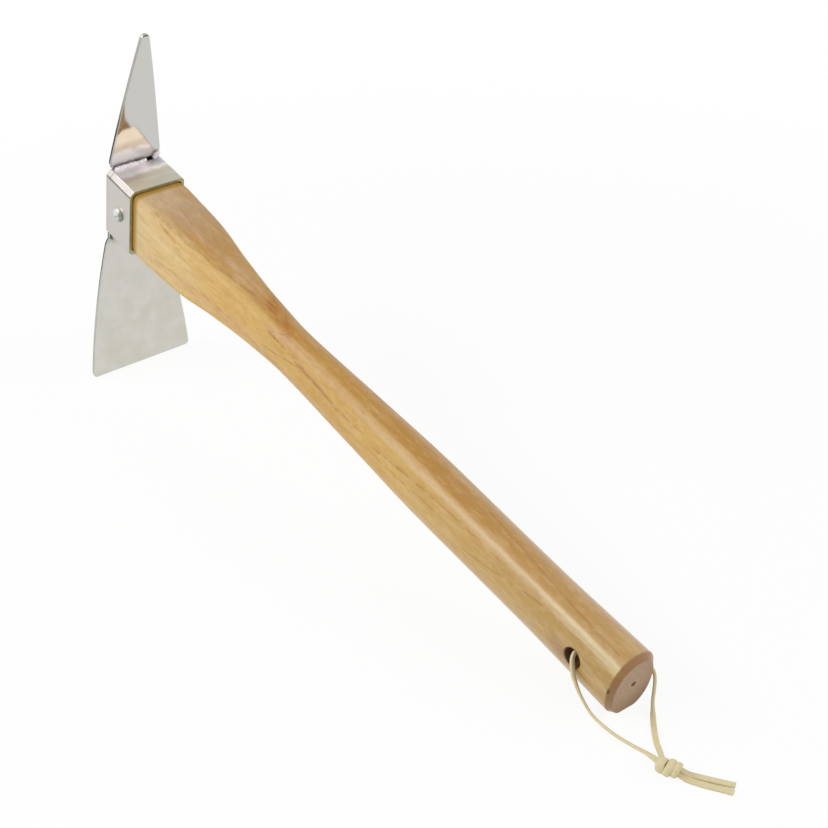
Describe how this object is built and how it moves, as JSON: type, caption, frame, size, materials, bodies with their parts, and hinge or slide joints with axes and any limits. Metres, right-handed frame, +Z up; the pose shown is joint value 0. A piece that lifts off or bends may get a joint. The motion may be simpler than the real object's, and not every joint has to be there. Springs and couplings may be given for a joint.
{
  "type": "hand mattock",
  "caption": "Small hand mattock: steel band with a narrow pick and a flared hoe blade welded to it, riveted to a waisted wooden handle with a lace through its end",
  "frame": {"origin": "on the table, under the middle of the tool's own box, the lace left out", "axes": "+X runs from the head towards the butt along the table, +Y is across the tool, away from the side that the picture shows, +Z is up; the tool stands on its hoe's edge and the lower rim of its butt"},
  "size_m": [0.465, 0.063, 0.2073],
  "materials": {
    "varnished_wood": "clear varnish over straight-grained honey-coloured wood",
    "polished_steel": "polished stainless plate",
    "weld_steel": "bright weld, left as laid",
    "rivet_steel": "bright domed heads",
    "lace_leather": "pale undyed suede lace"
  },
  "bodies": {
    "root": {"handle": "varnished_wood", "socket_band": "polished_steel", "pick_blade": "polished_steel", "hoe_blade": "polished_steel", "pick_weld_bead": "weld_steel", "pick_weld_tack": "weld_steel", "hoe_weld_bead": "weld_steel", "handle_rivet": "rivet_steel", "lace_left_strand": "lace_leather", "lace_right_strand": "lace_leather", "lace_knot": "lace_leather", "lace_tail_upper": "lace_leather", "lace_tail_lower": "lace_leather"}
  },
  "joints": []
}
